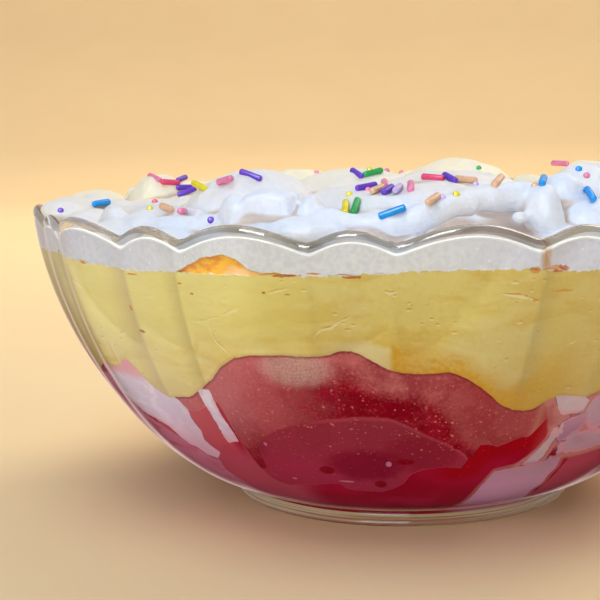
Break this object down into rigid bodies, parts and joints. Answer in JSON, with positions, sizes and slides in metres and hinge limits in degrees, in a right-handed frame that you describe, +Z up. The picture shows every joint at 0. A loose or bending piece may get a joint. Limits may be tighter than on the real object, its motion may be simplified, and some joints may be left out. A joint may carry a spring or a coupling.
{
  "type": "trifle in a glass bowl",
  "caption": "Layered trifle in a fluted clear glass bowl with a scalloped rim: red jelly, soaked sponge, custard and heaped whipped cream with sugar sprinkles.",
  "frame": {"origin": "on the ground, under the middle of the bowl's foot", "axes": "+Z up out of the bowl, -Y towards the front that is seen"},
  "size_m": [0.2254, 0.2254, 0.1025],
  "materials": {
    "clear_glass": "clear pressed glass, fire polished",
    "jelly": "wet deep red jelly",
    "sponge": "soaked sponge crumb",
    "custard": "thick smooth custard",
    "cream": "soft whipped cream",
    "sprinkle": "coloured sugar"
  },
  "bodies": {
    "root": {"bowl": "clear_glass", "jelly": "jelly", "sponge": "sponge", "custard": "custard", "cream": "cream"}
  },
  "joints": []
}
